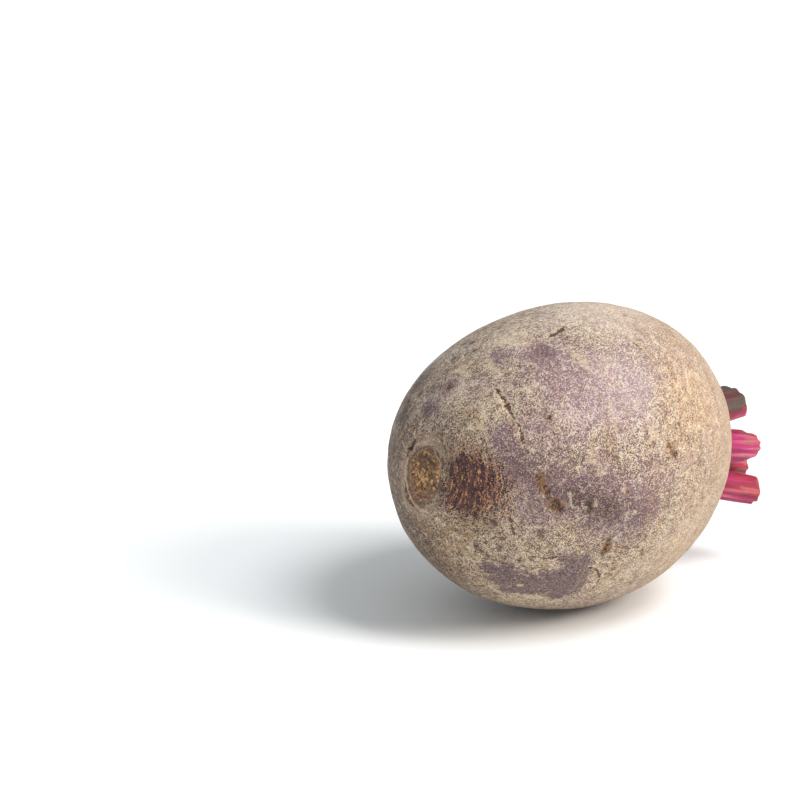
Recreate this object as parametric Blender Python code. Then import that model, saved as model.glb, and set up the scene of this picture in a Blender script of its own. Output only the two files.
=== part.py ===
# A whole beetroot lying on its side, as picked and trimmed: one swollen root, whose tail was cut off
# flat and whose crown is a flat scar, and the cut stumps of its leaf stalks standing on that crown.
# The root is modelled in its own frame, +X towards the crown and +Z up, and an empty lays it down.
import math

import bmesh
import bpy
from mathutils import Matrix, Vector

MM = 0.001

# The swollen root, an ovoid with a slightly oval, three-lobed girth
ROOT_RADIUS = 39.1 * MM
TAIL_REACH = 46.8 * MM  # from the thickest girth to the tip of the tail end
CROWN_REACH = 39.8 * MM
TAIL_FULLNESS = 1.0  # 1 is an ellipse, less is blunter
CROWN_FULLNESS = 0.89
TAIL_SAG = 2.0 * MM  # how far each end droops below the middle
CROWN_SAG = 2.6 * MM
OVAL = 0.052
OVAL_TURN = math.radians(142)  # turns round the root are counted from +Y towards +Z
LOBE = 0.026
LOBE_TURN = math.radians(16)

# The scar where the tap root was cut off
TAIL_SCAR_RADIUS = 7.6 * MM
TAIL_SCAR_TILT = math.radians(11)  # it faces a little upwards
TAIL_SCAR_SUNK = 0.5 * MM
TAIL_SCAR_BLEND = 4.5 * MM
TAIL_SCAR_RIM = 0.45 * MM
TAIL_RIM_WIDTH = 0.9 * MM

# The crown: a flat top inside rings of old leaf scars
CROWN_RADIUS = 13.6 * MM
CROWN_TILT = math.radians(5)  # it faces a little downwards
CROWN_BLEND = 6.5 * MM
SCAR_RINGS = (
    # radius, height, width, scars round it, turn
    (14.6 * MM, 0.9 * MM, 1.0 * MM, 7, 0.4),
    (18.2 * MM, 0.45 * MM, 1.1 * MM, 9, 1.7),
)

# The leaf stalks, counted round the crown from +Y towards +Z
STALK_GAP = 0.3 * MM  # between a stalk's foot and the crown
STALK_BOW = 1.6 * MM  # how far a stalk's back stands out past its two edges
FOOT_FLARE = 1.1
FOOT_LENGTH = 3.5 * MM
RIB_SHARE = 0.09
DOME_POWER = 2.5
STALKS = (
    # turn, ring radius, facing past its turn, half width, thickness, ribs,
    # length, splay, side lean, slant of the cut across and outwards, and its middle's lead on its edges
    (84, 9.9, 24, 5.5, 4.6, 4, 20.4, 12, 0, 1.6, -2.6, 2.8),
    (162, 9.4, 0, 4.4, 5.0, 5, 18.7, 6, 2, -0.4, -1.0, 3.4),
    (235, 9.4, 0, 4.8, 5.0, 5, 24.8, 9, -1, -0.4, -1.6, 4.2),
    (307, 9.3, 0, 4.4, 4.6, 4, 18.0, 12, -2, 1.2, 1.5, 1.4),
    (18, 9.3, 0, 4.5, 4.4, 4, 20.0, 9, 2, -1.2, 1.0, 1.8),
    (212, 4.3, 0, 3.1, 3.4, 3, 25.0, 2, 5, 0.8, -0.8, 0.8),
    (330, 3.6, 0, 2.3, 2.6, 3, 15.0, 3, 2, 0.8, -0.8, 1.0),
    (86, 3.6, 0, 2.3, 2.6, 3, 12.0, 2, -2, -0.8, -0.8, 1.0),
)

# How the beetroot lies
PITCH = math.radians(5.7)  # the crown end lies lower than the tail end
FLAT_DEPTH = 0.7 * MM  # the small flat spot that it rests on

# Mesh density
CAP_RINGS = 8  # rings of faces round each pole, which end in 8 points for each ring
TURN_POINTS = 8 * CAP_RINGS
TAIL_CAP = math.radians(16)
CROWN_CAP = math.radians(25)
SHOULDER_END = math.radians(35)  # the rings of leaf scars reach this far from the crown's pole
SHOULDER_ROWS = 7
SIDE_ROWS = 31
SECTION_STEPS = 16  # along a stalk's back, and again along its front
STALK_STATIONS = (0.0, 0.16, 0.45, 0.75, 1.0)


def smooth_step(low, high, value):
    share = min(max((value - low) / (high - low), 0.0), 1.0)
    return share * share * (3 - 2 * share)


def material(name, colour, roughness):
    mat = bpy.data.materials.new(name)
    mat.use_nodes = True
    mat.diffuse_color = (*colour, 1.0)
    shader = mat.node_tree.nodes["Principled BSDF"]
    shader.inputs["Base Color"].default_value = (*colour, 1.0)
    shader.inputs["Roughness"].default_value = roughness
    shader.inputs["Metallic"].default_value = 0.0
    return mat


def add_object(name, bm, mat, parent):
    mesh = bpy.data.meshes.new(name)
    bm.to_mesh(mesh)
    bm.free()
    mesh.materials.append(mat)
    mesh.shade_smooth()
    obj = bpy.data.objects.new(name, mesh)
    bpy.context.scene.collection.objects.link(obj)
    obj.parent = parent
    return obj


def add_empty(name, parent=None, matrix=None):
    empty = bpy.data.objects.new(name, None)
    bpy.context.scene.collection.objects.link(empty)
    empty.parent = parent
    if matrix is not None:
        empty.matrix_local = matrix
    return empty


def ovoid_point(tilt, turn):
    """A point of the plain root. tilt is 0 at the tail's pole and pi at the crown's."""
    if tilt > math.pi / 2:
        reach, fullness, sag = CROWN_REACH, CROWN_FULLNESS, CROWN_SAG
    else:
        reach, fullness, sag = TAIL_REACH, TAIL_FULLNESS, TAIL_SAG
    share = -math.cos(tilt)
    lobes = OVAL * math.cos(2 * (turn - OVAL_TURN)) + LOBE * math.cos(3 * (turn - LOBE_TURN))
    girth = ROOT_RADIUS * max(math.sin(tilt), 0.0) ** fullness * (1 + lobes)
    return Vector((
        reach * share,
        girth * math.cos(turn),
        girth * math.sin(turn) - sag * share * share,
    ))


def cut_frame(pole_tilt, radius, facing, sunk):
    """Centre and outward normal of a flat cut across an end, as deep as its edge and a little more."""
    pole = ovoid_point(pole_tilt, 0)
    side = math.copysign(1, pole.x)
    depth = abs(pole.x) * (1 - math.cos(math.asin(radius / ROOT_RADIUS))) + sunk
    return pole - Vector((side * depth, 0, 0)), Vector((side * math.cos(facing), 0, math.sin(facing)))


TAIL_CENTRE, TAIL_NORMAL = cut_frame(0, TAIL_SCAR_RADIUS, TAIL_SCAR_TILT, TAIL_SCAR_SUNK)
CROWN_CENTRE, CROWN_NORMAL = cut_frame(math.pi, CROWN_RADIUS, -CROWN_TILT, 0)


def flatten(point, centre, normal, radius, blend):
    """The point moved onto a cut's plane, less and less past the cut's edge, and how far out it is."""
    offset = point - centre
    height = offset.dot(normal)
    away = (offset - height * normal).length
    share = 1 - smooth_step(radius, radius + blend, away)
    return point - normal * (height * share), away


def ridge(away, radius, width):
    return math.exp(-(((away - radius) / width) ** 2))


def skin_point(tilt, turn):
    """A point of the real root: the ovoid with its cut tail and its scarred crown."""
    point = ovoid_point(tilt, turn)
    if tilt < math.pi / 2:
        point, away = flatten(point, TAIL_CENTRE, TAIL_NORMAL, TAIL_SCAR_RADIUS, TAIL_SCAR_BLEND)
        return point + TAIL_NORMAL * (TAIL_SCAR_RIM * ridge(away, TAIL_SCAR_RADIUS, TAIL_RIM_WIDTH))
    point, away = flatten(point, CROWN_CENTRE, CROWN_NORMAL, CROWN_RADIUS, CROWN_BLEND)
    for radius, height, width, scars, phase in SCAR_RINGS:
        scallop = 0.6 + 0.4 * math.cos(scars * (turn - phase))
        point = point + CROWN_NORMAL * (height * scallop * ridge(away, radius, width))
    return point


def cap_turn(i, j):
    """The turn of a cap's grid point, so that its square rings become circles with evenly set points."""
    if abs(i) >= abs(j):
        return math.pi / 4 * (j / i) + (math.pi if i < 0 else 0)
    return math.pi / 2 - math.pi / 4 * (i / j) + (math.pi if j < 0 else 0)


def cap_verts(bm, tilt_of_ring):
    """The grid of vertices over one pole, by grid place."""
    verts = {(0, 0): bm.verts.new(skin_point(tilt_of_ring(0), 0))}
    for i in range(-CAP_RINGS, CAP_RINGS + 1):
        for j in range(-CAP_RINGS, CAP_RINGS + 1):
            ring = max(abs(i), abs(j))
            if ring:
                verts[i, j] = bm.verts.new(skin_point(tilt_of_ring(ring), cap_turn(i, j)))
    for i in range(-CAP_RINGS, CAP_RINGS):
        for j in range(-CAP_RINGS, CAP_RINGS):
            bm.faces.new((verts[i, j], verts[i + 1, j], verts[i + 1, j + 1], verts[i, j + 1]))
    return verts


def cap_edge(verts):
    """The cap's outermost vertices in order of turn."""
    edge = [None] * TURN_POINTS
    for (i, j), vert in verts.items():
        if max(abs(i), abs(j)) == CAP_RINGS:
            edge[round(cap_turn(i, j) / (2 * math.pi) * TURN_POINTS) % TURN_POINTS] = vert
    return edge


def side_tilts():
    """The tilts of the rings between the two caps, closer together over the crown's shoulder."""
    start, shoulder, end = TAIL_CAP, math.pi - SHOULDER_END, math.pi - CROWN_CAP
    side = [start + (shoulder - start) * k / SIDE_ROWS for k in range(1, SIDE_ROWS + 1)]
    return side + [shoulder + (end - shoulder) * k / SHOULDER_ROWS for k in range(1, SHOULDER_ROWS)]


def build_root(parent):
    bm = bmesh.new()
    tail = cap_verts(bm, lambda ring: TAIL_CAP * ring / CAP_RINGS)
    crown = cap_verts(bm, lambda ring: math.pi - CROWN_CAP * (ring / CAP_RINGS) ** 0.75)
    rows = [cap_edge(tail)]
    for tilt in side_tilts():
        turns = (2 * math.pi * k / TURN_POINTS for k in range(TURN_POINTS))
        rows.append([bm.verts.new(skin_point(tilt, turn)) for turn in turns])
    rows.append(cap_edge(crown))
    for near, far in zip(rows, rows[1:]):
        for k in range(TURN_POINTS):
            after = (k + 1) % TURN_POINTS
            bm.faces.new((near[k], near[after], far[after], far[k]))
    skin = material("beetroot skin", (0.43, 0.33, 0.26), 0.75)
    return add_object("swollen_root", bm, skin, parent)


def press_flat_spot(root, laid_down):
    """Cuts the small flat spot under the root and returns the height of its plane."""
    heights = [(laid_down @ v.co).z for v in root.data.vertices]
    floor = min(heights) + FLAT_DEPTH
    bm = bmesh.new()
    bm.from_mesh(root.data)
    bmesh.ops.transform(bm, matrix=laid_down, verts=bm.verts)
    everything = bm.verts[:] + bm.edges[:] + bm.faces[:]
    cut = bmesh.ops.bisect_plane(
        bm, geom=everything, plane_co=(0, 0, floor), plane_no=(0, 0, 1), clear_inner=True
    )
    rim = [e for e in cut["geom_cut"] if isinstance(e, bmesh.types.BMEdge)]
    bmesh.ops.contextual_create(bm, geom=rim)
    bmesh.ops.transform(bm, matrix=laid_down.inverted(), verts=bm.verts)
    bmesh.ops.recalc_face_normals(bm, faces=bm.faces)
    bm.to_mesh(root.data)
    bm.free()
    return floor


def stalk_section(half_width, thickness, ribs):
    """A stalk's crescent section as (outwards, across) pairs: a ribbed back, then a channelled front."""
    points = []
    for k in range(2 * SECTION_STEPS):
        angle = math.pi * k / SECTION_STEPS
        across = math.cos(angle)
        half = math.copysign(thickness / 2, math.sin(angle)) * abs(math.sin(angle)) ** 0.8
        if half > 0:
            half *= 1 + RIB_SHARE * math.cos(math.pi * ribs * (across + 1))
        points.append((half - STALK_BOW * across * across, half_width * across))
    return points


def stalk_end(bm, ring, flip):
    """Closes a stalk's end with a ladder of faces between its back and its front."""
    for k in range(SECTION_STEPS):
        back, front = (k, k + 1), (-k - 1, -k)
        loop = [ring[back[0]], ring[back[1]], ring[front[0]], ring[front[1]]]
        corners = list(dict.fromkeys(loop))
        bm.faces.new(corners[::-1] if flip else corners)


def build_stalk(number, row, crown):
    turn, radius, facing, half_width, thickness, ribs, *cut_values = row
    length, splay, lean, slant_across, slant_out, dome = cut_values
    half_width, thickness, length = half_width * MM, thickness * MM, length * MM
    slope = Vector((math.tan(math.radians(splay)), math.tan(math.radians(lean)), 1.0))
    section = stalk_section(half_width, thickness, ribs)
    bm = bmesh.new()
    rings = []
    for share in STALK_STATIONS:
        rise = length * share
        flare = 1 + (FOOT_FLARE - 1) * (1 - smooth_step(0, FOOT_LENGTH, rise))
        verts = []
        for out, across in section:
            side = across / half_width
            cut = slant_across * side + slant_out * out / thickness - dome * abs(side) ** DOME_POWER
            centre = slope * (rise + cut * share * MM)
            verts.append(bm.verts.new(centre + Vector((out * flare, across * flare, STALK_GAP))))
        rings.append(verts)
    for near, far in zip(rings, rings[1:]):
        for k in range(len(section)):
            bm.faces.new((near[k - 1], far[k - 1], far[k], near[k]))
    stalk_end(bm, rings[0], False)
    stalk_end(bm, rings[-1], True)
    flesh = material("beetroot leaf stalk", (0.55, 0.07, 0.13), 0.4)
    stalk = add_object(f"leaf_stalk_{number}", bm, flesh, crown)
    angle = math.radians(turn)
    stalk.location = (radius * MM * math.cos(angle), radius * MM * math.sin(angle), 0)
    stalk.rotation_euler = (0, 0, math.radians(turn + facing))
    return stalk


def world_corners(objects):
    bpy.context.view_layer.update()
    points = [o.matrix_world @ v.co for o in objects for v in o.data.vertices]
    low = Vector(min(p[k] for p in points) for k in range(3))
    high = Vector(max(p[k] for p in points) for k in range(3))
    return low, high


def main():
    for obj in list(bpy.data.objects):
        bpy.data.objects.remove(obj)
    laid_down = Matrix.Rotation(PITCH, 4, "Y")
    resting = add_empty("resting_frame", matrix=laid_down)
    root = build_root(resting)
    floor = press_flat_spot(root, laid_down)

    # The crown's frame has +Z out of the root, and its X and Y are the root's Y and Z
    upward = Vector((0, 0, 1))
    across = upward.cross(CROWN_NORMAL).normalized()
    axes = Matrix((across, CROWN_NORMAL.cross(across), CROWN_NORMAL)).transposed()
    crown = add_empty("crown_frame", resting, Matrix.Translation(CROWN_CENTRE) @ axes.to_4x4())
    stalks = [build_stalk(k + 1, row, crown) for k, row in enumerate(STALKS)]

    # The origin is under the middle of the whole object, on the surface that it lies on
    low, high = world_corners([root, *stalks])
    middle = (low + high) / 2
    resting.matrix_local = Matrix.Translation((-middle.x, -middle.y, -floor)) @ laid_down
    bpy.context.view_layer.update()


main()
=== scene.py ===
# A whole beetroot lying on its side: dusty speckled skin, the flat scar of its cut tail,
# a crown of old leaf scars, and the cut stumps of its leaf stalks.
import functools
import math
import random

import bpy
import numpy as np
from mathutils import Matrix, Vector, noise


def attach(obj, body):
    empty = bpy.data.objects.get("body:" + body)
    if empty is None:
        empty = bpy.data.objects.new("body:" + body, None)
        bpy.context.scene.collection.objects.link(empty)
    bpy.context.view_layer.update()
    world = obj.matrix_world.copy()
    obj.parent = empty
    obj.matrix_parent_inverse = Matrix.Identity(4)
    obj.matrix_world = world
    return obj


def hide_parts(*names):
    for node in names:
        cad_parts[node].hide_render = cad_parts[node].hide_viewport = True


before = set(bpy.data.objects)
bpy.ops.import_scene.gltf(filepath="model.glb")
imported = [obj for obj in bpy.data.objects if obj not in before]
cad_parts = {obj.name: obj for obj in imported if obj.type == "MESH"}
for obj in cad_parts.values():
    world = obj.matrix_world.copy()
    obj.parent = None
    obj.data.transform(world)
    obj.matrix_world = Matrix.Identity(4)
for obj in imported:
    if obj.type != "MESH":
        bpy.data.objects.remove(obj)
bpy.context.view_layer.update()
print("frame loaded:", len(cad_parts), "nodes")

mm = 0.001
bodyMiddle = Vector((-6.754, -0.44, 38.718)) * mm   # the middle of the swollen root
bodyPitch = math.radians(5.7)                       # the crown end lies lower than the tail end
rootTurn = Matrix.Rotation(bodyPitch, 3, "Y")       # from the root's own directions to the room's


def hexColour(text):
    # sRGB hex to the linear values that a shader wants
    parts = [int(text[k:k + 2], 16) / 255 for k in (1, 3, 5)]
    return tuple(p / 12.92 if p <= 0.04045 else ((p + 0.055) / 1.055) ** 2.4 for p in parts) + (1.0,)


# The inputs that a node's values fill in turn, where they aren't its first ones
inputOrder = {
    "Mix": (0, 6, 7),              # share, then the colours at 0 and at 1
    "MapRange": (0, 1, 2, 4, 3),   # value, its two ends, then what comes out at the second and the first
    "TexNoise": ("Vector", "Scale", "Detail", "Roughness", "Distortion"),
    "TexVoronoi": ("Vector", "Scale"),
}
# what most nodes of a kind are here: a weighted value added to another one, and a mix of colours
usual = {"Math": {"operation": "MULTIPLY_ADD"}, "Mix": {"data_type": "RGBA", "out": 2}}


def addNode(tree, kind, *values, **settings):
    # adds a node, sets it up, links or fills its inputs, and gives back one of its outputs. The inputs
    # are values in turn, or one dictionary with their names or numbers.
    node = tree.nodes.new("ShaderNode" + kind)
    settings = {"out": 0, **usual.get(kind, {}), **settings}
    out = settings.pop("out")
    for name, value in settings.items():
        setattr(node, name, value)
    inputs = dict(zip(inputOrder.get(kind, range(3)), values))
    if values and isinstance(values[0], dict):
        inputs = values[0]
    for name, value in inputs.items():
        if isinstance(value, bpy.types.NodeSocket):
            tree.links.new(value, node.inputs[name])
        else:
            node.inputs[name].default_value = hexColour(value) if isinstance(value, str) else value
    return None if out is None else node.outputs[out]


def newMaterial(name):
    mat = bpy.data.materials.new(name)
    mat.use_nodes = True
    mat.node_tree.nodes.clear()
    return mat, functools.partial(addNode, mat.node_tree)


def coat(add, under, over, value, low, high, most=1, within=None, **blend):
    # lays one colour over another, more and more as the value goes from low to high, and only where
    # "within" is above 0
    share = add("MapRange", value, low, high, most)
    if within is not None:
        share = add("Math", share, within, operation="MULTIPLY")
    return add("Mix", share, under, over, **blend)


def pick(obj):
    bpy.ops.object.select_all(action="DESELECT")
    bpy.context.view_layer.objects.active = obj
    obj.select_set(True)


def applyModifiers(obj, *steps):
    for kind, values in steps:
        modifier = obj.modifiers.new(kind.lower(), kind)
        for name, value in values.items():
            setattr(modifier, name, value)
        bpy.ops.object.modifier_apply(modifier=modifier.name)


def flatEnd(outward):
    # a flat end's own directions, its third one pointing out of the root, with X as level as can be
    outward = outward.normalized()
    across = Vector((0, 1, 0)).cross(outward).cross(outward).normalized() * -1
    return Matrix((across, outward.cross(across), outward)).transposed()


def smooth(low, high, value):
    share = np.clip((value - low) / (high - low), 0, 1)
    return share * share * (3 - 2 * share)


# The two flat ends, in the room's directions
tailCentre = bodyMiddle + rootTurn @ (Vector((-45.41, 0, -2.0)) * mm)
tailOut = rootTurn @ Vector((-math.cos(math.radians(11)), 0, math.sin(math.radians(11))))
crownCentre = bodyMiddle + rootTurn @ (Vector((37.314, 0, -2.6)) * mm)
crownOut = rootTurn @ Vector((math.cos(math.radians(5)), 0, -math.sin(math.radians(5))))
crownAcross = Vector((0, 1, 0))
crownUp = crownOut.cross(crownAcross).normalized()
crownFrame = np.array((crownAcross, crownUp, crownOut))


# Camera and room

room = {
    "yaw": 40.05,            # degrees from the +Y direction towards +X
    "lookDown": 16.2,        # degrees
    "distance": 750 * mm,
    "pixelSize": 76 / 309 * mm,   # of one pixel of the 800 x 800 picture, at the beetroot
    "middlePixel": (566.5, 452.0),   # where the root's middle falls in the picture
    "picture": 800,                  # its width and height in pixels
    "sensor": 36,                    # mm
    "keyPlace": (1.7, 1.25, -0.75),       # metres to the right, up and ahead, from the root's middle
    "overheadPlace": (1.1, 2.0, -0.55),
    "floorSize": 8.0,
    "skyLight": 0.58,
    "keyLight": 32.0,
    "overheadLight": 33.0,
    "floorColour": "#f6f6f5",
    "farGlow": 0.3,
}


def addCamera():
    yaw, down = math.radians(room["yaw"]), math.radians(room["lookDown"])
    forward = Vector((math.sin(yaw) * math.cos(down), math.cos(yaw) * math.cos(down), -math.sin(down)))
    right = forward.cross(Vector((0, 0, 1))).normalized()
    up = right.cross(forward)
    focal = room["distance"] / room["pixelSize"]
    px, py = room["middlePixel"]
    half = room["picture"] / 2
    aim = right * ((px - half) / focal) + up * ((half - py) / focal) + forward
    place = bodyMiddle - aim * room["distance"]
    bpy.ops.object.camera_add(location=place, rotation=(math.pi / 2 - down, 0, -yaw))
    camera = bpy.context.object
    camera.name = "camera"
    camera.data.sensor_width = room["sensor"]
    camera.data.lens = focal * room["sensor"] / room["picture"]
    camera.data.clip_start = 0.01
    camera.data.clip_end = 50
    bpy.context.scene.camera = camera
    return forward, right


def addSoftbox(name, place, aim, size, power, colour):
    bpy.ops.object.light_add(type="AREA", location=place)
    light = bpy.context.object
    light.name = name
    light.rotation_euler = (aim - place).to_track_quat("-Z", "Y").to_euler()
    light.data.shape = "DISK"
    light.data.size = size
    light.data.energy = power
    light.data.color = hexColour(colour)[:3]


def addRoom():
    forward, right = addCamera()
    ahead = Vector((forward.x, forward.y, 0)).normalized()
    for name, size, colour in (("key", 0.9, "#fffaf3"), ("overhead", 1.0, "#fdfdff")):
        x, z, y = room[name + "Place"]
        place = bodyMiddle + right * x + Vector((0, 0, z)) + ahead * y
        addSoftbox(name + "_light", place, bodyMiddle, size, room[name + "Light"], colour)

    bpy.ops.object.select_all(action="DESELECT")
    bpy.ops.mesh.primitive_plane_add(size=room["floorSize"], location=(0, 0, 0))
    floor = bpy.context.object
    floor.name = "studio_floor"
    mat, add = newMaterial("matte white studio paper")   # a seamless paper roll, nearly pure white and dull
    place = add("TexCoord", out="Object")
    mottle = add("TexNoise", place, 3, 2)
    colour = add("Mix", mottle, "#f4f4f3", room["floorColour"])
    # the far paper has a little light of its own, as from a background lamp, so it is as white as the near
    far = add("VectorMath", place, out="Value", operation="LENGTH")
    far = add("MapRange", far, 0.3, 1.1, room["farGlow"])
    shader = add("BsdfPrincipled", {"Base Color": colour, "Roughness": 0.9, "Emission Color": "#ffffff",
                                    "Emission Strength": far})
    add("OutputMaterial", {"Surface": shader}, out=None)
    floor.data.materials.append(mat)

    world = bpy.data.worlds.new("soft white room")
    world.use_nodes = True
    world.node_tree.nodes.clear()
    add = functools.partial(addNode, world.node_tree)
    seen = add("LightPath", out="Is Camera Ray")
    strength = add("Mix", {0: seen, 2: room["skyLight"], 3: 1}, data_type="FLOAT", out=0)
    sky = add("Background", {"Color": "#f4fbff", "Strength": strength})
    add("OutputWorld", {"Surface": sky}, out=None)
    bpy.context.scene.world = world
    bpy.context.scene.view_settings.view_transform = "Standard"


addRoom()
print("camera, lights and floor are in")


# Mesh helpers

def readPoints(obj):
    flat = np.empty(len(obj.data.vertices) * 3, np.float32)
    obj.data.vertices.foreach_get("co", flat)
    return flat.reshape(-1, 3).astype(float)


def writePoints(obj, points):
    obj.data.vertices.foreach_set("co", points.astype(np.float32).ravel())
    obj.data.update()


def readNormals(obj):
    flat = np.empty(len(obj.data.vertices) * 3, np.float32)
    obj.data.vertex_normals.foreach_get("vector", flat)
    return flat.reshape(-1, 3).astype(float)


def storeColour(obj, name, columns):
    # up to four fields in one point attribute, for the material to read
    values = np.zeros((len(obj.data.vertices), 4), np.float32)
    for k, column in enumerate(columns):
        values[:, k] = column
    obj.data.attributes.new(name, "FLOAT_COLOR", "POINT").data.foreach_set("color", values.ravel())


def storeVector(obj, name, columns):
    values = np.stack(columns, axis=1).astype(np.float32)
    obj.data.attributes.new(name, "FLOAT_VECTOR", "POINT").data.foreach_set("vector", values.ravel())


def unevenness(points, size, seed):
    # smooth lumps, from about -1 to 1, of about the given size
    shift = Vector((seed * 7.31, seed * 3.17, seed * 5.71))
    return np.array([noise.noise(Vector(p) / size + shift) for p in points])


def roundCopy(node, name, levels):
    # a merged, rounded copy of a CAD node; the node itself is left alone
    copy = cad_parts[node].copy()
    copy.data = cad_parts[node].data.copy()
    copy.name = name
    copy.parent = None
    for key in list(copy.keys()):
        del copy[key]
    bpy.context.scene.collection.objects.link(copy)
    pick(copy)
    bpy.ops.object.mode_set(mode="EDIT")
    bpy.ops.mesh.select_all(action="SELECT")
    bpy.ops.mesh.remove_doubles(threshold=1e-6)
    bpy.ops.mesh.tris_convert_to_quads(face_threshold=math.radians(40), shape_threshold=math.radians(40))
    bpy.ops.object.mode_set(mode="OBJECT")
    if levels:
        applyModifiers(copy, ("SUBSURF", {"levels": levels, "render_levels": levels}))
    return copy


# The swollen root

skinShape = {
    "halvings": 7,          # the cage's sides are halved this often: 2 to the 7th faces along each side
    "lumps": 0.22 * mm,
    "lumpSizes": (16, 8),   # mm
    "dents": 0.07 * mm,
    "dentSize": 3.2,
    "rings": 0.07 * mm,     # faint growth rings round the girth
    "wrinkles": 0.16 * mm,
    "lipRadius": 8.3,       # mm from the middle of the tail's disc
    "grooveRadius": 7.1,
    "bruiseMiddle": (-13.4, -0.6),   # mm sideways and upward, in the root's own directions
    "bruiseRadius": 8.2,
    "highest": 0.25 * mm,   # what a lump may rise before the whole skin is drawn in
    "drawnIn": 0.2 * mm,
    "bareDepth": 0.05,      # mm, how deep the rubbed patches lie
    "paintedShadeAmount": 0.62,      # how much painted shade darkens the shaded side
}

# Marks on the skin. Each place is given as degrees from the tail's tip (90 is the thickest girth) and
# degrees round the root, from its +Y side over the top.
lineMarks = (
    # places, width and depth in mm, strength
    (((34.1, 119.6), (33.9, 126.9), (34.2, 132.8), (33.8, 137.6), (34.7, 144.8), (34.6, 149.8),
      (34.4, 155.7)), 0.62, 0.22, 1),
    (((59.8, 110.1), (62.3, 109.9), (64.4, 109.8), (66.1, 108.5)), 0.85, 0.22, 1),
    (((68.6, 110.8), (71.4, 110.8)), 0.3, 0.1, 0.8),
    (((82.7, 127.3), (83.7, 130.5)), 0.3, 0.15, 1),
    (((90.9, 111.5), (93.9, 114.3)), 0.5, 0.1, 0.6),
    (((31.8, 199.2), (33.7, 207.3)), 0.7, 0.15, 0.9),
    (((28.3, 224.1), (30.1, 215.7), (31.7, 215.5), (32.8, 213.3)), 0.45, 0.1, 0.85),
    (((42, 201.8), (42, 205.9)), 0.4, 0.1, 0.7),
    # cracks round the bare patch
    (((64.7, 215.7), (68.2, 216.5), (71.4, 219.9), (73.3, 224.4), (74.5, 230.2), (73.8, 231.9)),
     0.45, 0.15, 1),
    (((64.7, 218.8), (66.7, 223.1), (69.8, 224.7)), 0.35, 0.1, 0.8),
    (((43.3, 217.8), (47.5, 216.4), (50.8, 213.4), (53.4, 211.5), (58.5, 211)), 0.4, 0.12, 0.95),
    (((42.6, 225), (45.4, 224.8), (48, 222)), 0.35, 0.08, 0.8),
    (((62.9, 215.4), (64.5, 220.1), (65.5, 226.2), (66.7, 232.2)), 0.3, 0.08, 0.7),
    (((35.8, 45.1), (39.5, 49), (35.5, 66.4), (38, 71.2)), 0.5, 0.15, 0.8),
    (((26.7, 205.5), (25, 205), (23.4, 207), (21.4, 210)), 0.5, 0.1, 0.7),
    # folds of the bruise
    (((15.2, 152.7), (15.1, 161), (15.3, 169.6)), 0.37, 0.2, 0.9),
    (((16.5, 155.7), (17.4, 163), (18.1, 169.5), (17.9, 178), (17.4, 187.4), (17.5, 194.5), (19.2, 200.4)),
     0.56, 0.25, 1),
    (((20.1, 162.9), (20.6, 167.6), (21.2, 170.8)), 0.5, 0.2, 1),
    (((12.5, 191.5), (12.4, 203.6), (12.7, 216)), 0.68, 0.25, 1),
    (((14, 183.4), (15, 190.2)), 0.5, 0.2, 0.9),
    (((16.1, 199.4), (16.5, 205.8), (17, 213.6)), 0.5, 0.2, 0.95),
    (((18.8, 204.9), (18.9, 209.9)), 0.5, 0.2, 0.95),
    (((21.6, 176.7), (22, 182)), 0.56, 0.2, 0.95),
    (((24.4, 186), (25.7, 193.7)), 0.56, 0.2, 0.95),
    (((19.9, 193.6), (21, 195.5)), 0.5, 0.15, 0.9),
    (((8.7, 165), (10.6, 170.5), (11.7, 178.2)), 0.5, 0.2, 0.9),
    (((13.2, 165), (13.4, 176), (12.6, 186)), 0.43, 0.15, 0.8),
    (((6.1, 211.8), (8.7, 208.8)), 0.56, 0.15, 0.8),
    (((6.2, 131.7), (5.9, 148), (5.6, 164.3)), 0.9, 0.3, 0.8),
    (((35.8, 187.5), (37.4, 192)), 0.4, 0.1, 0.6),
    # the disc's bright rim, and the dark hollow inside it
    (((9.8, 346.9), (9.9, 329.9), (10.1, 314.5), (10.5, 297.8), (10.9, 281.7), (11.3, 266.1),
      (11.7, 253.6)), 0.36, -0.1, -1),
    (((8.7, 350), (8.6, 330), (8.9, 314), (9.3, 298), (9.5, 280), (9.4, 262)), 0.8, 0.12, 0.7),
    (((6.5, 92.4), (5.2, 136.9), (5, 175.2)), 0.3, -0.05, -0.8),
    (((8.2, 10.2), (7.9, 29.7), (7.5, 51.2), (7.4, 75.3), (7.4, 100)), 0.4, 0.12, 0.75),
    (((10.1, 19.1), (9.4, 36.6), (9, 59.7), (9.2, 86.5), (10, 110.2)), 0.3, -0.05, -0.7),
    (((11, 55.3), (10.9, 83), (12, 109.4), (13.1, 126)), 0.3, 0.08, 0.4),
    (((10.3, 16.4), (10.4, 28.3), (10.7, 40.9)), 1, 0.3, 1),
    (((9.7, 225), (9, 243), (9.4, 261)), 0.5, 0.1, 0.7),
    (((7.4, 228), (7, 250), (7.4, 275)), 0.4, 0.08, 0.6),
    # pale scrapes
    (((38.7, 127), (44.1, 128.9)), 0.5, 0, -0.5),
    (((38.1, 103.5), (38.4, 111.2)), 0.6, 0, -0.8),
    (((60.8, 123.9), (61.8, 129.8)), 0.9, 0, -0.8),
    (((81.9, 117.4), (83.5, 124), (85.2, 133.8)), 0.6, 0, -0.6),
    (((63.5, 148.5), (64.3, 153.5)), 0.7, 0, -0.6),
    (((76, 154), (76.6, 161)), 0.5, 0, -0.6),
    (((78.2, 153), (78.9, 163)), 0.5, 0, -0.5),
    (((80.8, 162.3), (82.1, 157.2)), 0.5, 0, -0.5),
    (((41.5, 206.5), (45.5, 209.5)), 0.7, 0, -0.5),
    (((55.5, 163), (57.5, 171)), 0.9, 0, -0.5),
)


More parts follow.
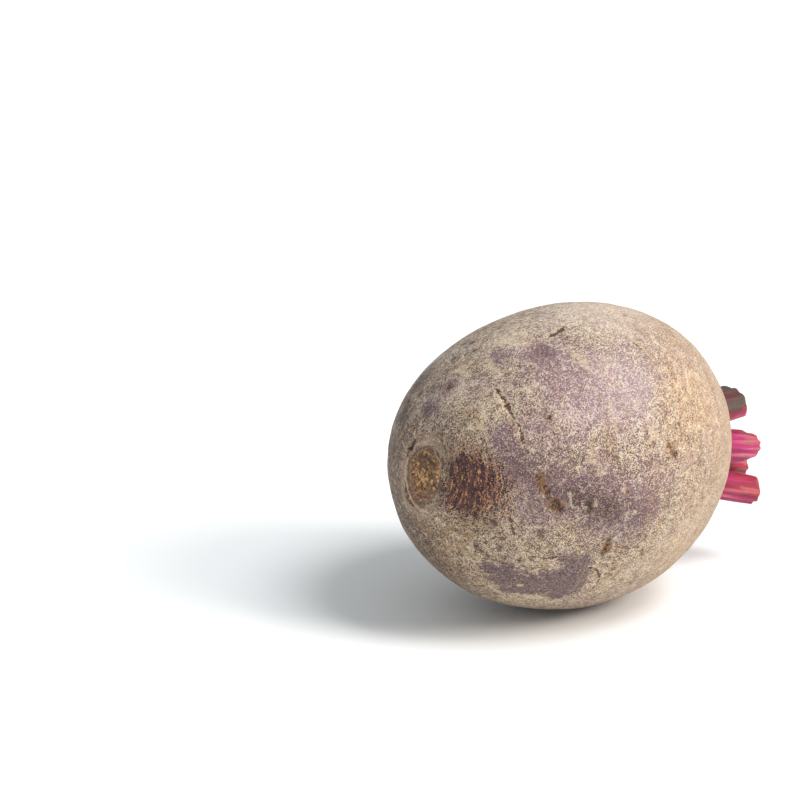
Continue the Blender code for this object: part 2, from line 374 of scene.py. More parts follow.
def seededMarks():
    # the top, the back and the underside have marks too: short scars of side roots, round the girth, and
    # small pits
    dice = random.Random(7)
    lines, pits = [], []
    for _ in range(26):
        tilt = dice.uniform(40, 150)
        turn = dice.choice((dice.uniform(-85, 80), dice.uniform(-85, 80), dice.uniform(245, 285)))
        reach = dice.uniform(2, 8)
        places = ((tilt, turn), (tilt + dice.uniform(-2, 2), turn + reach))
        lines.append((places, dice.uniform(0.35, 0.7), 0.12, dice.uniform(0.6, 1)))
    for _ in range(30):
        tilt, turn = dice.uniform(25, 150), dice.uniform(-90, 85)
        pits.append(((tilt, turn), dice.uniform(0.4, 1.1), dice.uniform(0.1, 0.3), dice.random()))
    return tuple(lines), tuple(pits)


seededLines, seededPits = seededMarks()


def faceOutward(obj):
    pick(obj)
    bpy.ops.object.mode_set(mode="EDIT")
    bpy.ops.mesh.select_all(action="SELECT")
    bpy.ops.mesh.normals_make_consistent(inside=False)
    bpy.ops.object.mode_set(mode="OBJECT")


def wrapRoot():
    # a cube halved into an even cage, rounded into a ball, stretched over the root and shrunk onto it
    form = roundCopy("swollen_root", "root_form", 2)
    bpy.ops.object.select_all(action="DESELECT")
    bpy.ops.mesh.primitive_cube_add(size=2)
    skin = bpy.context.object
    skin.name = "root_skin"
    bpy.ops.object.mode_set(mode="EDIT")
    bpy.ops.mesh.select_all(action="SELECT")
    for _ in range(skinShape["halvings"]):
        bpy.ops.mesh.subdivide(number_cuts=1)
    bpy.ops.object.mode_set(mode="OBJECT")
    points = np.tan(readPoints(skin) * math.pi / 4)
    points /= np.linalg.norm(points, axis=1)[:, None]
    points = points * np.array((50, 45, 45)) * mm + np.array((-2, 0, -1)) * mm
    writePoints(skin, points @ np.array(rootTurn).T + np.array(bodyMiddle))
    bothWays = {"use_negative_direction": True, "use_positive_direction": True}
    applyModifiers(skin, ("SHRINKWRAP", {"target": form, "wrap_method": "PROJECT", **bothWays}))
    bpy.data.objects.remove(form)
    faceOutward(skin)
    return skin


def sculptRoot(skin):
    points, normals = readPoints(skin), readNormals(skin)
    own = (points - np.array(bodyMiddle)) @ np.array(rootTurn) / mm   # in mm, in the root's own directions
    girth = np.hypot(own[:, 1], own[:, 2])
    around = np.arctan2(own[:, 2], own[:, 1])
    pointing = own / np.linalg.norm(own, axis=1)[:, None]

    def place(tilt, turn):
        tilt, turn = math.radians(tilt), math.radians(turn)
        ray = np.array((-math.cos(tilt), math.sin(tilt) * math.cos(turn), math.sin(tilt) * math.sin(turn)))
        return own[np.argmax(pointing @ ray)]

    height = np.zeros(len(points))
    broad, small = skinShape["lumpSizes"]
    lumps = unevenness(own, broad, 1) + 0.5 * unevenness(own, small, 2)
    dents = unevenness(own, skinShape["dentSize"], 3)
    height += lumps * skinShape["lumps"] + dents * skinShape["dents"]
    waved = own[:, 0] + 0.8 * lumps
    bands = np.array([noise.noise(Vector((x * 0.55, 0.5 * math.cos(a), 0.5 * math.sin(a))))
                      for x, a in zip(waved, around)])
    height += bands * skinShape["rings"] * (0.5 + smooth(10, 35, own[:, 0]))

    # narrow marks: signed distance across the line, distance along it, and how near it is
    across = np.full(len(points), 9.0)
    along = np.zeros(len(points))
    near = np.zeros(len(points))
    closest = np.full(len(points), 1e9)
    for places, width, depth, strength in lineMarks + seededLines:
        spots = [place(*p) for p in places]
        run = 0.0
        for a, b in zip(spots, spots[1:]):
            way = b - a
            length = np.linalg.norm(way)
            way = way / length
            offset = own - a
            t = np.clip(offset @ way, 0, length)
            away = np.linalg.norm(offset - t[:, None] * way, axis=1)
            side = np.sign(np.einsum("ij,ij->i", np.cross(way, normals @ np.array(rootTurn)), offset))
            better = away < closest
            across = np.where(better, side * away / width, across)
            along = np.where(better, run + t, along)
            near = np.where(better, strength * (1 - smooth(1.0, 2.2, away)), near)
            closest = np.where(better, away, closest)
            height -= depth * mm * np.exp(-(away / (width * 1.1)) ** 2) * 0.6
            run += length

    # the cut tail: a low lip round a sunken disc, with a bruise of wrinkles beside it
    onTail = (points - np.array(tailCentre)) @ np.array(flatEnd(tailOut)) / mm
    fromDisc = np.hypot(onTail[:, 0], onTail[:, 1])
    tailSide = smooth(-6, -2, onTail[:, 2])
    grain = unevenness(own, 0.9, 5)
    lip = np.exp(-((fromDisc - skinShape["lipRadius"]) / 0.5) ** 2)
    height += tailSide * mm * 0.28 * lip * (0.6 + 0.4 * unevenness(own, 4, 6))
    height -= tailSide * mm * 0.35 * np.exp(-((fromDisc - skinShape["grooveRadius"]) / 0.6) ** 2)
    corky = 0.12 * grain + 0.1 * np.sin(fromDisc * 2.6 + 2 * lumps)
    height += tailSide * mm * corky * (1 - smooth(5.5, 7.5, fromDisc))
    bruiseAway = (own[:, 1:] - np.array(skinShape["bruiseMiddle"])) / skinShape["bruiseRadius"]
    bruise = 1 - np.sqrt(bruiseAway[:, 0] ** 2 + bruiseAway[:, 1] ** 2)
    bruise = np.where(own[:, 0] < -30, bruise, -1.0)
    fold = np.abs(np.sin(girth * 2.3 + 1.3 * unevenness(own, 2.6, 8) + 0.5))
    height -= smooth(0.05, 0.5, bruise) * skinShape["wrinkles"] * (1 - fold) * 1.5

    # a lump stands at most 0.05 mm over the rounded CAD root
    height = np.minimum(height, skinShape["highest"]) - skinShape["drawnIn"]
    writePoints(skin, points + normals * height[:, None])
    return {"own": own, "place": place, "across": across, "along": along, "near": near, "bruise": bruise}


toneMarks = (
    # place, radius in mm, mauve, tan, ochre, dark (below 0 lighter); the dark of the rows marked below is
    # painted shade or painted highlight
    ((68.7, 143), 17, 0.7, 0, 0, -0.25),
    ((45.7, 156.4), 9, 0.4, 0, 0, 0.1),
    ((44.6, 178.5), 10, 0.7, -0.3, 0, 0.5),
    ((56, 184), 11, 0.6, -0.3, 0, 0.55),
    ((68, 191), 13, 0.7, -0.1, 0, 0.5),
    ((32.6, 168.4), 9, 0.7, -0.3, 0, 0.5),
    ((30, 150), 7, 0.8, -0.2, 0, 0.35),
    ((48, 108), 8, 0.5, 0, 0, 0.05),
    ((55, 119), 7, 0.6, -0.1, 0, 0.1),
    ((30, 118), 8, 0.5, 0, 0, 0.3),
    ((22.5, 94), 9, 0, 0.4, 0.1, 0),
    ((22.2, 124.6), 6, 0, 0.5, 0, 0.1),
    # painted highlight: the top made lighter, as lit from above, with real tan and ochre
    ((84.6, 105.9), 20, 0, 0.4, 0.3, -0.7),
    ((95.3, 150.1), 17, 0.1, 0.5, 0.6, 0),
    ((102.8, 204.3), 19, 0, 0.6, 0.2, -0.15),
    ((84, 165), 8, 0.2, 0.3, 0.8, 0),
    # painted shade on the tail end's underside, with real tan and ochre
    ((30, 268.9), 18, 0, 0.5, 0.3, 0.3),
    ((55, 255), 18, 0, 0.5, 0.1, 0.1),
    ((43.6, 136.8), 5, 0, 0.2, 0, 0),
    ((40, 205), 9, 0, 0.4, 0.1, 0.1),
    ((46, 222), 8, 0, 0.4, 0.1, 0.1),
    ((24, 225), 9, 0, 0.5, 0.3, 0.25),
    ((52, 197), 5, 0.2, 0.3, 0.1, 0.1),
    # these two rows: painted shade on the tail end's upper back, with a little real tone change
    ((37, 43), 7, 0.2, -0.2, 0, 0.7),
    ((25, 30), 6, 0, -0.2, 0, 0.5),
    ((47, 148), 6, -0.1, 0.15, 0, -0.1),
    ((38.5, 147), 6, 0.3, -0.25, 0, 0.05),
    ((28.5, 117.5), 4, -0.3, 0.5, 0, -0.1),
    ((57.3, 170.3), 7, 0.3, -0.4, 0, 0.1),
    ((37.5, 190), 7, 0.3, -0.4, 0, 0.2),
    ((3.5, 305), 3.5, 0, 0, 0.9, 0),
    ((30.5, 131), 6, -0.2, 0.45, 0, -0.15),
    ((50.5, 150), 5, 0.1, 0.2, 0, -0.1),
    ((88, 120), 14, 0, -0.2, 0.2, 0),
    ((52, 135), 16, 0.5, -0.25, 0, 0),
    ((80, 135), 18, 0.2, 0, 0, -0.1),
    ((75, 180), 15, 0.5, -0.1, 0.1, 0.05),
    ((41, 203), 8, 0.2, -0.2, 0.1, 0.1),
    ((55, 245), 14, -0.2, 0.5, 0.1, -0.1),
    ((76, 222), 10, -0.1, 0.5, 0.1, -0.1),
    ((25, 250), 12, -0.2, 0.4, 0.2, -0.15),
    ((50, 100), 8, -0.2, 0.4, 0.2, 0),
    ((33, 85), 7, -0.1, 0.4, 0.2, 0),
    ((50, 100), 10, 0, 0.2, 0.1, -0.2),
    ((25, 90), 9, 0.3, 0, 0, -0.2),
    ((43, 102), 5, 0.7, -0.5, 0, 0.45),
    ((27.5, 83), 4.5, 0.7, -0.6, 0, 0.35),
    ((20, 72), 5.5, 0.8, -0.6, 0, 0.35),
    ((53, 115), 6, 0.6, -0.5, 0, 0.3),
    ((52, 93), 5, -0.2, 0.5, 0.3, -0.2),
    ((36, 83), 5, -0.2, 0.5, 0.1, -0.3),
    ((33.5, 122), 4, -0.2, 0.3, 0, -0.2),
)
discShift = 1.5   # mm, how far the disc's middle lies to the side of the tail's own
paintedShadeSide = Vector((-0.72, 0.62, -0.31)).normalized()   # the tail end's lower back side, made browner as painted shade
bareMarks = (
    # places of the middle, and its radius in mm
    ((58.5, 229), 3.2),
    ((60.5, 224.5), 2.8),
    ((63.2, 231.6), 2.8),
    ((63.4, 237.5), 1.8),
    ((63.8, 225.8), 2.4),
    ((62.2, 220), 2.1),
    ((61.4, 215.7), 1.3),
    ((59.2, 219.5), 1.4),
    ((55.8, 222.7), 1.3),
    ((55, 230.8), 2.4),
    ((52.3, 225.6), 1),
    ((54.1, 213.4), 0.8),
    ((56.8, 213), 1.2),
    ((59.4, 213.1), 1.2),
    ((49.9, 233.5), 1.7),
    ((45.6, 233), 1.8),
    ((48, 245.2), 1.5),
    ((41.6, 242.5), 1.6),
    ((36.8, 239), 1.5),
    ((50.3, 243), 1.7),
    ((55.3, 236), 2),
    ((52.9, 240.5), 1.7),
    ((39.7, 233), 1.7),
    ((45, 239), 2),
    ((42, 236.5), 2),
    ((70, 20), 2.6),
    ((74, 24), 1.8),
    ((118, 100), 2.2),
)
pitMarks = (
    # place, radius in mm, depth in mm, rust (1) or olive-black (0)
    ((38.6, 173.5), 0.8, 0.2, 0.9),
    ((39.6, 177), 1.2, 0.3, 1),
    ((40.4, 180.5), 1, 0.3, 0.7),
    ((41.6, 183), 0.9, 0.25, 1),
    ((43.4, 185.2), 1.4, 0.35, 0.9),
    ((44.6, 187.6), 1.4, 0.4, 1.2),
    ((46, 188.6), 0.9, 0.3, 0.4),
    ((55, 184.4), 0.9, 0.25, 0.3),
    ((55.4, 186.8), 0.8, 0.25, 0.5),
    ((66.1, 200.8), 0.5, 0.35, 1),
    ((66.1, 203), 0.95, 0.5, 1.5),
    ((66.3, 205.2), 1, 0.5, 1.5),
    ((66.5, 207.2), 0.55, 0.3, 1),
    ((84.2, 206), 0.4, 0.2, 0.9),
    ((84.8, 208.4), 0.5, 0.2, 0.9),
    ((77.1, 162.7), 0.65, 0.35, 1.2),
    ((84.2, 164.2), 0.75, 0.4, 1.2),
    ((84.8, 165.8), 0.6, 0.35, 1),
    ((86.3, 167.4), 0.75, 0.4, 0.6),
    ((88.6, 157.1), 0.45, 0.2, 0.8),
    ((62.8, 166.3), 0.7, 0.1, 0.3),
    ((65.7, 157), 0.5, 0.08, 0.9),
    ((44.2, 145.5), 0.6, 0.05, 0.9),
    ((67.8, 179.7), 0.5, 0.1, 0.9),
    ((26.7, 205.5), 0.9, 0.35, 0.1),
    ((42, 204), 0.7, 0.15, 0.6),
    ((42, 201.8), 0.6, 0.15, 0.3),
    ((32.3, 231.9), 0.45, 0.1, 0.1),
    ((35, 231), 0.4, 0.1, 0.1),
    ((36.7, 225.9), 0.4, 0.1, 0.3),
    ((41, 223.2), 0.4, 0.1, 0.1),
    ((29.9, 231.7), 0.45, 0.1, 0.3),
    ((27.4, 230.4), 0.5, 0.1, 0.1),
    ((33, 222.8), 0.4, 0.1, 0.2),
    ((10.5, 25), 1, 0.5, 0.3),
    ((10.6, 35), 0.8, 0.4, 0.6),
)


def markRoot(skin, seen):
    own, place = seen["own"], seen["place"]
    tones = np.zeros((4, len(own)))
    for spot, radius, *amounts in toneMarks:
        share = smooth(0, 1, 1 - np.linalg.norm((own - place(*spot)) / radius, axis=1))
        for k, amount in enumerate(amounts):
            tones[k] += amount * share
    # painted shade: the skin is browner the more it faces the tail end's lower back
    facing = readNormals(skin) @ np.array(paintedShadeSide)
    tones[3] += skinShape["paintedShadeAmount"] * smooth(0.1, 1.0, facing)
    bare = np.full(len(own), -3.0)
    for spot, radius in bareMarks:
        bare = np.maximum(bare, radius - np.linalg.norm(own - place(*spot), axis=1))   # mm inside the edge
    pit = np.full(len(own), -3.0)
    tint = np.zeros(len(own))
    points, normals = readPoints(skin), readNormals(skin)
    sunk = np.zeros(len(own))
    for spot, radius, depth, amount in pitMarks + seededPits:
        away = np.linalg.norm(own - place(*spot), axis=1)
        tint = np.where(radius - away > pit, amount, tint)
        pit = np.maximum(pit, radius - away)
        sunk += depth * (1 - smooth(0.2, 1.1, away / radius))
    sunk += skinShape["bareDepth"] * smooth(-0.1, 0.3, bare)
    writePoints(skin, points - normals * (sunk * mm)[:, None])
    storeColour(skin, "tone", np.clip(tones, -1, 1))
    storeColour(skin, "blemish", (seen["bruise"], np.maximum(bare, -3), np.maximum(pit, -3), tint))
    storeVector(skin, "line", (seen["across"], seen["along"], seen["near"]))


def rootMaterial():
    # Beetroot skin: a thin corky periderm with dried soil on it. It is dull and dusty, a mauve-grey layer
    # under a broken net of cream flecks a fraction of a millimetre wide.
    mat, add = newMaterial("beetroot skin, dry and corky")
    objectPlace = add("TexCoord", out="Object")
    # millimetres along the root's own directions
    inMillimetres = {"Vector": objectPlace, "Scale": (mm, mm, mm)}
    turned = (0, bodyPitch, 0)
    own = add("Mapping", {**inMillimetres, "Location": bodyMiddle, "Rotation": turned},
              vector_type="TEXTURE")
    tone = add("Attribute", attribute_name="tone", out="Color")
    mauveSpot, tanSpot, ochreSpot = add("SeparateColor", tone).node.outputs
    # the dark channel: real browner tone, painted shade, and painted highlight where below 0
    darkToneAndPaintedLight = tone.node.outputs["Alpha"]
    blemish = add("Attribute", attribute_name="blemish", out="Color")
    bruise, bare, pit = add("SeparateColor", blemish).node.outputs
    pitTint = blemish.node.outputs["Alpha"]
    line = add("Attribute", attribute_name="line", out="Vector")
    lineAcross, lineAlong, lineNear = add("SeparateXYZ", line).node.outputs
    axis, sideways, upward = add("SeparateXYZ", own).node.outputs

    # noises, each at the size in mm of what it stands for. The real grains are about 0.1 mm across, too
    # fine to show, so they are drawn at 0.25 mm.
    cells = add("TexVoronoi", own, 1 / 0.25, out="Color")
    cellRed, cellGreen, cellBlue = add("SeparateColor", cells).node.outputs
    fine = add("TexNoise", own, 1 / 0.26, 1, 0.75, 0.2)
    fine = add("Math", fine, 0.64, operation="MULTIPLY")
    fine = add("Math", cellRed, 0.36, fine)
    tint = add("Mapping", {"Vector": own, "Location": (31, 17, 5)})
    tint = add("TexNoise", tint, 1 / 0.6, 1, 0.6)
    clump = add("TexNoise", own, 1 / 2.2, 4, 0.7, 0.5)
    patch = add("TexNoise", own, 1 / 8.5, 6, 0.72, 0.7)
    region = add("TexNoise", own, 1 / 26, 2, 0.5)

    # how much of the skin the cream flecks cover
    cover = 0.49
    for source, weight in ((tanSpot, 0.16), (mauveSpot, -0.07), (darkToneAndPaintedLight, -0.06)):
        cover = add("Math", source, weight, cover)
    for source, weight in ((clump, 0.24), (patch, 0.52), (region, 0.15)):
        centred = add("Math", source, 0.5, operation="SUBTRACT")
        cover = add("Math", centred, weight, cover)
    cover = add("MapRange", cover, 0.24, 0.76, 0.63, 0.365, interpolation_type="SMOOTHSTEP")
    edge = add("Math", 1, cover, operation="SUBTRACT")
    over = add("Math", fine, edge, operation="SUBTRACT")
    fleck = add("MapRange", over, -0.11, 0.11, interpolation_type="SMOOTHSTEP")

    # darker and lighter places: random patches, with the painted shade and painted highlight of the marks'
    # dark column
    darkEdge = add("Math", patch, 0.5, -0.25)
    darkEdge = add("Math", darkEdge, darkToneAndPaintedLight, operation="ADD")
    darken = add("MapRange", darkEdge, 0, 1)

    # colours of the under layer and of the flecks
    shade = patch
    for source, weight in ((mauveSpot, 0.55), (region, 0.5), (tanSpot, -0.35)):
        shade = add("Math", source, weight, shade)
    shade = add("MapRange", shade, 0.62, 1.1)
    under = add("Mix", shade, "#644e44", "#755c62")
    cream = add("Mix", shade, "#d6c6ad", "#c4b1ab")
    yellow = add("Math", clump, 0.8, tint)
    cream = coat(add, cream, "#dcbf8c", yellow, 0.9, 1.15, 0.3)
    under = coat(add, under, "#8c6169", tint, 0.5, 0.3, 0.55)
    under = add("Mix", darken, under, "#705f5b", blend_type="MULTIPLY")
    cream = add("Mix", darken, cream, "#b5a49d", blend_type="MULTIPLY")
    colour = add("Mix", fleck, under, cream)
    # each grain is a little lighter or darker, and a little redder or yellower, than the next
    hue = add("MapRange", cellGreen, 0, 1, 0.52, 0.475)
    rich = add("MapRange", cellRed, 0, 1, 1.35, 0.75)
    bright = add("MapRange", cellBlue, 0, 1, 1.24, 0.72)
    colour = add("HueSaturation", {"Hue": hue, "Saturation": rich, "Value": bright, "Color": colour})

    # islands of thicker cream dust, a few millimetres across with broken edges
    island = add("TexNoise", own, 1 / 5, 6, 0.72, 0.8)
    island = add("Math", fine, 0.25, island)
    island = add("MapRange", island, 0.7, 0.77, 0.55)
    colour = add("Mix", island, colour, "#d6c6ac")

    # ochre stain in broken bands round the girth, towards the crown
    bandPlace = add("Mapping", {"Vector": own, "Scale": (1, 0.14, 0.14)})
    bands = add("TexNoise", bandPlace, 1 / 2.4, 5, 0.7, 0.3)
    crownward = add("MapRange", axis, -14, 36, interpolation_type="SMOOTHSTEP")
    stain = add("Math", ochreSpot, 0.6, crownward)
    stain = add("Math", stain, 0.3, bands)
    colour = coat(add, colour, "#e2bd8c", stain, 0.5, 0.85, 0.8, blend_type="MULTIPLY")
    # an even tan haze under the strokes
    haze = add("Math", crownward, 0.5, operation="MULTIPLY")
    colour = add("Mix", haze, colour, "#b39d84")

    # short ochre and cream strokes round the girth, where the skin has cracked and healed as it grew
    strokes = add("TexNoise", bandPlace, 1 / 0.75, 4, 0.75, 0.4)
    strokes = add("Math", cellGreen, 0.1, strokes)
    ochreShare = add("Math", ochreSpot, 0.12, strokes)
    colour = coat(add, colour, "#a8794a", ochreShare, 0.63, 0.71, 0.8, crownward)
    colour = coat(add, colour, "#e0cdae", strokes, 0.44, 0.36, 0.6, crownward)

    # dark smudges with broken edges, a millimetre or two across, mostly towards the tail
    smudge = add("TexNoise", own, 1 / 1.5, 4, 0.75, 0.8)
    for source, weight in ((patch, 0.4), (cellBlue, 0.08), (crownward, -0.12), (mauveSpot, -0.15)):
        smudge = add("Math", source, weight, smudge)
    colour = coat(add, colour, "#98867c", smudge, 0.78, 0.86, 0.8, blend_type="MULTIPLY")

    # thin broken creases, pale where dust lies in them and dark where they are open
    crease = add("TexNoise", own, 1 / 3.4, 3, 0.6, 1)
    creaseFade = add("Math", mauveSpot, -0.6, 1)
    creaseFade = add("Math", crownward, -0.4, creaseFade, use_clamp=True)
    creases = ((0.5, 0.034, 0.48, 0.6, 0.6, "#dfceb2"), (0.61, 0.022, 0.52, 0.42, 0.65, "#5e4840"))
    for level, thick, low, high, share, creaseHex in creases:
        away = add("Math", crease, level, operation="SUBTRACT")
        away = add("Math", away, operation="ABSOLUTE")
        away = add("MapRange", away, thick, thick * 0.4, share)
        broken = add("MapRange", clump, low, high)
        away = add("Math", away, broken, operation="MULTIPLY")
        away = add("Math", away, creaseFade, operation="MULTIPLY")
        colour = add("Mix", away, colour, creaseHex)

    # browner and lighter places: real browner tone, with painted shade on the tail end's shaded side and a
    # painted highlight on the top
    colour = coat(add, colour, "#a89678", darkToneAndPaintedLight, 0.5, 1, 0.7, blend_type="MULTIPLY")
    colour = coat(add, colour, "#d8c8c2", darkEdge, 0, -0.5, 0.3)

    # dark pores, up to 0.7 mm wide
    pores = add("TexVoronoi", own, 1 / 3.2)
    poreRed = add("SeparateColor", pores.node.outputs["Color"])
    poreSize = add("MapRange", poreRed, 0.55, 1, 0.11)
    poreShare = add("Math", poreSize, pores, operation="SUBTRACT")
    poreShare = add("MapRange", poreShare, -0.02, 0.02, 0.75)
    colour = add("Mix", poreShare, colour, "#5a4238")

    # bare patches, where the dusty layer is rubbed off
    wisp = add("Mapping", {"Vector": own, "Rotation": (0.5, 0.3, 0), "Scale": (1, 0.45, 1)})
    wisp = add("TexNoise", wisp, 1 / 1.1, 4, 0.7, 1.2)
    ragged = -1.4
    for source, weight in ((patch, 2.0), (wisp, 8.0), (fine, 2.5)):
        ragged = add("Math", source, weight, ragged)
    bareEdge = add("Math", bare, ragged, operation="ADD")
    bareShare = add("MapRange", bareEdge, 4.05, 4.2, 0.97)
    bareColour = coat(add, "#3f2b30", "#7d6360", fine, 0.43, 0.57)
    dust = add("Math", wisp, -0.8, cellBlue)
    bareColour = coat(add, bareColour, "#bfa98f", dust, 0.52, 0.58, 0.75)
    colour = add("Mix", bareShare, colour, bareColour)

    # the bruise beside the tail: dark folds with rusty grains between them
    girth = add("CombineXYZ", sideways, upward)
    girth = add("VectorMath", girth, out="Value", operation="LENGTH")
    wavy = add("Math", clump, 0.8, girth)
    wavy = add("Math", patch, 1.6, wavy)
    slow = add("Math", upward, 0.14, operation="MULTIPLY")
    foldPlace = add("CombineXYZ", wavy, slow)
    folds = add("TexNoise", foldPlace, 1 / 0.9, 3, 0.7)
    strokePlace = add("Math", upward, 0.27, operation="MULTIPLY")
    strokePlace = add("CombineXYZ", wavy, strokePlace)
    stroke = add("TexVoronoi", strokePlace, 1 / 0.25, out="Color")
    strokeRed, strokeGreen, strokeBlue = add("SeparateColor", stroke).node.outputs
    foldGrain = add("Math", fine, 0.5, folds)
    halo = add("Math", clump, 1.2, bruise)
    halo = add("Math", cellBlue, 0.6, halo)
    haloColour = add("Mix", cellGreen, "#7d5654", "#a88660")
    colour = coat(add, colour, haloColour, halo, 0.65, 1.3, 0.65)
    bruiseEdge = bruise
    for source, weight in ((folds, -1.4), (clump, 1.4), (fine, -1.2)):
        bruiseEdge = add("Math", source, weight, bruiseEdge)
    inBruise = add("MapRange", bruise, -0.25, -0.05)
    bruiseColour = coat(add, "#2c1822", "#6b453f", foldGrain, 0.74, 0.95)
    rust = add("Math", folds, 1.3, strokeRed)
    grains = add("Mix", strokeGreen, "#8f4850", "#d09c60")
    bruiseColour = coat(add, bruiseColour, grains, rust, 1.46, 1.52, 0.85)
    sparks = add("Math", strokeBlue, 0.3, cellBlue)
    bruiseColour = coat(add, bruiseColour, "#cb905c", sparks, 1.02, 1.06, 0.8)
    colour = coat(add, colour, bruiseColour, bruiseEdge, -0.75, -0.45, 0.96)

    # pits with rusty or olive crumbs in them and a dark bottom, and a pale ring on the rim that is a
    # painted highlight
    pitEdge = add("Math", clump, 4.6, pit)
    pitEdge = add("Math", fine, 2.2, pitEdge)
    # painted highlight on each pit's rim, tinted ochre where the pit is rusty
    rimHighlightColour = add("Mix", pitTint, "#9c8a72", "#b0854f")
    colour = coat(add, colour, rimHighlightColour, pitEdge, 3, 3.3, 0.35)
    crumb = add("Math", pitTint, 0.3, cellRed)
    rustColour = coat(add, "#33231b", "#94693b", crumb, 1.03, 1.09)
    colour = coat(add, colour, rustColour, pitEdge, 3.4, 3.52, 0.94)

    # the tail's disc: brown corky grains and faint rings, under a pinkish lip
    turned = flatEnd(tailOut).to_euler()
    onTail = add("Mapping", {**inMillimetres, "Location": tailCentre, "Rotation": turned},
                 vector_type="TEXTURE")
    tailX, tailY, tailZ = add("SeparateXYZ", onTail).node.outputs
    tailX = add("Math", tailX, discShift, operation="SUBTRACT")
    tailX = add("Math", tailX, 1.22, operation="MULTIPLY")
    flat = add("CombineXYZ", tailX, tailY)
    fromDisc = add("VectorMath", flat, out="Value", operation="LENGTH")
    wavyDisc = fromDisc
    for source, weight in ((clump, 1.2), (patch, 1.8), (fine, 1.0)):
        wavyDisc = add("Math", source, weight, wavyDisc)
    tailEnd = add("MapRange", tailZ, -5, -2.5)
    lipShare = add("MapRange", wavyDisc, 13.5, 10.4, 0.5)
    lipShare = add("Math", lipShare, tailEnd, operation="MULTIPLY")
    lipShare = add("Math", inBruise, -0.5, lipShare, use_clamp=True)
    lipColour = add("Mix", fine, "#7a5850", "#d0b294")
    colour = add("Mix", lipShare, colour, lipColour)
    crumbs = add("MapRange", clump, 0.35, 0.65)
    corky = add("TexVoronoi", own, 1 / 0.6, out="Color")
    corkRed, corkGreen, corkBlue = add("SeparateColor", corky).node.outputs
    discUp = add("MapRange", tailY, 1, 6)
    discDeep = add("Mix", discUp, "#2c1f19", "#2f1512")
    discWarm = add("Mix", discUp, "#966b42", "#8a4f36")
    discShade = -1.55
    for source, weight in ((crumbs, 0.4), (corkBlue, 0.9), (fine, 2.9)):
        discShade = add("Math", source, weight, discShade)
    discColour = add("Mix", discShade, discDeep, discWarm, clamp_factor=True)
    goldGrain = corkRed
    for source, weight in ((fromDisc, -0.025), (clump, 0.8), (ochreSpot, 0.35)):
        goldGrain = add("Math", source, weight, goldGrain)
    goldColour = add("Mix", corkGreen, "#b0704e", "#e0b878")
    discColour = coat(add, discColour, goldColour, goldGrain, 1, 1.12, 0.92)
    ringPlace = add("CombineXYZ", wavyDisc)
    rings = add("TexNoise", ringPlace, 1 / 0.8, 1)
    ringLow = add("MapRange", tailY, 0, -4, 0.8, 0.25)
    discColour = coat(add, discColour, "#43312a", rings, 0.48, 0.56, ringLow)
    colour = coat(add, colour, discColour, wavyDisc, 9.6, 8.8, 0.96, tailEnd)
    rimDark = add("Math", wavyDisc, 9.3, operation="SUBTRACT")
    rimDark = add("Math", rimDark, operation="ABSOLUTE")
    colour = coat(add, colour, "#3d2d25", rimDark, 0.5, 0.1, 0.55, tailEnd)

    # narrow scratches and cracks; a mark with a negative strength is a pale scrape
    thin = add("Math", lineAcross, operation="ABSOLUTE")
    dashes = add("CombineXYZ", lineAlong, 0.8, 0.7)
    dashes = add("TexNoise", dashes, 1 / 1.6, 2)
    thin = add("Math", clump, 1.2, thin)
    thin = add("Math", fine, 1.8, thin)
    # a mark breaks up into dashes, but not in the bruise or on the disc
    calm = add("MapRange", wavyDisc, 13.5, 12.5)
    calm = add("Math", calm, inBruise, operation="MAXIMUM")
    dashes = add("Mix", {0: calm, 2: dashes, 3: 0.5}, data_type="FLOAT", out=0)
    thin = add("Math", dashes, -3.8, thin)
    thin = add("Math", cellGreen, 0.9, thin)
    lineShare = add("MapRange", thin, 0.77, 0.62)
    lineSide = add("MapRange", thin, 1.55, 0.95, 0.5)
    lineSide = add("Math", lineSide, lineNear, operation="MULTIPLY", use_clamp=True)
    unbruised = add("Math", 1, inBruise, operation="SUBTRACT")
    lineSide = add("Math", lineSide, unbruised, operation="MULTIPLY")
    colour = add("Mix", lineSide, colour, "#cbb694")
    lineDark = add("Math", lineShare, lineNear, operation="MULTIPLY", use_clamp=True)
    linePale = add("Math", lineNear, -1, operation="MULTIPLY")
    linePale = add("Math", lineShare, linePale, operation="MULTIPLY", use_clamp=True)
    broken = add("MapRange", fine, 0.4, 0.56, 1, 0.45)
    linePale = add("Math", linePale, broken, operation="MULTIPLY")
    lineColour = add("Mix", cellBlue, "#3c2428", "#6b4640")
    colour = add("Mix", lineDark, colour, lineColour)
    colour = add("Mix", linePale, colour, "#cfba9a")

    # the crown: cream and pink flesh between the stalks, brown papery scars round it
    turned = Matrix((crownAcross, crownUp, crownOut)).transposed().to_euler()
    onCrown = add("Mapping", {**inMillimetres, "Location": crownCentre, "Rotation": turned},
                  vector_type="TEXTURE")
    crownX, crownY, crownZ = add("SeparateXYZ", onCrown).node.outputs
    flat = add("CombineXYZ", crownX, crownY)
    fromCrown = add("VectorMath", flat, out="Value", operation="LENGTH")
    wavyCrown = add("Math", patch, 6, fromCrown)
    wavyCrown = add("Math", clump, 3, wavyCrown)
    crownEnd = add("MapRange", crownZ, -14, -9)
    scarColour = add("Mix", crumbs, "#4a3628", "#a5835c")
    colour = coat(add, colour, scarColour, wavyCrown, 25, 21.5, 0.9, crownEnd)
    fleshColour = add("Mix", crumbs, "#a83a58", "#dcae94")
    colour = coat(add, colour, fleshColour, wavyCrown, 18.6, 17.2, 1, crownEnd)

